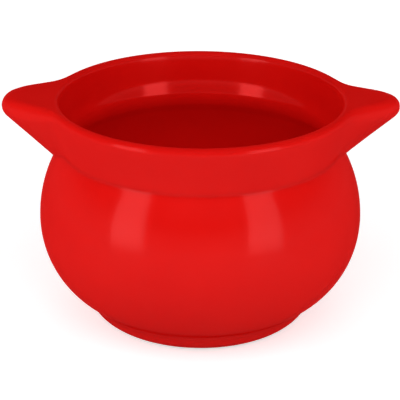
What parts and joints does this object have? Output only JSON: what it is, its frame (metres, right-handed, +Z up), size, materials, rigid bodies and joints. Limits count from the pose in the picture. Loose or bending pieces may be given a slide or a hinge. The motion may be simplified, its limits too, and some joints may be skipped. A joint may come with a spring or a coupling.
{
  "type": "soup bowl",
  "caption": "Round-bellied glazed stoneware soup bowl with a flared collar, rounded lip, wedge lug handles flush with the rim and a low foot ring.",
  "frame": {"origin": "on the bowl's axis, on the table plane under the foot ring", "axes": "+Z up along the bowl's axis, +X through the right lug, so the lugs lie along X"},
  "size_m": [0.1564, 0.129, 0.0915],
  "materials": {
    "stoneware": "matte",
    "red_glaze": "gloss"
  },
  "bodies": {
    "root": {"bowl_body": "stoneware", "rim_collar": "stoneware", "left_lug": "stoneware", "right_lug": "stoneware", "foot_ring": "stoneware", "outer_glaze": "red_glaze", "liner_glaze": "red_glaze", "base_glaze": "red_glaze"}
  },
  "joints": []
}
